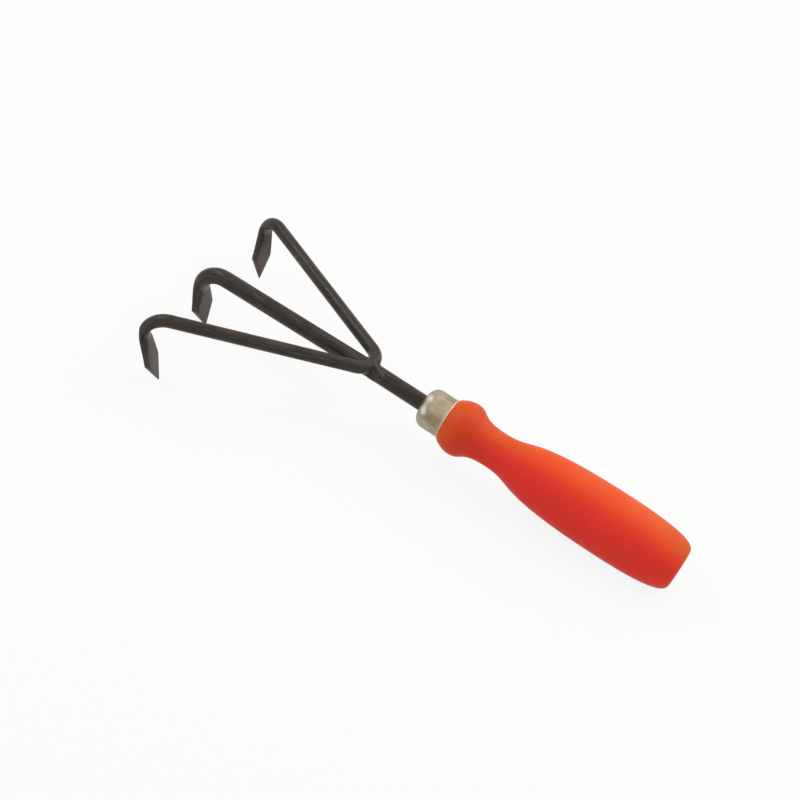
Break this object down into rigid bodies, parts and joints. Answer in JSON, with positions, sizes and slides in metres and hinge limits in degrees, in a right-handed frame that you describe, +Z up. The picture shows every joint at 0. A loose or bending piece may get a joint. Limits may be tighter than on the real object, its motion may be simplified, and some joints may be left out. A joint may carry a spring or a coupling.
{
  "type": "hand cultivator",
  "caption": "Hand cultivator: a moulded grip with a metal ferrule, a steel shank, and hooked round tines with flat pointed blades.",
  "frame": {"origin": "on the ground, under the middle of the tool's length and width, as it lies on its lowest point and the belly of its handle", "axes": "+X from the handle to the tines, +Y to the left tine, +Z up"},
  "size_m": [0.2644, 0.1143, 0.0388],
  "materials": {
    "handle_plastic": "satin moulded plastic",
    "ferrule_steel": "dull plated sheet steel",
    "tine_paint": "dark brown-black satin paint"
  },
  "bodies": {
    "root": {"handle": "handle_plastic", "ferrule": "ferrule_steel", "centre_rod": "tine_paint", "outer_rod": "tine_paint", "rear_weld_bead": "tine_paint", "front_weld_bead": "tine_paint"}
  },
  "joints": []
}
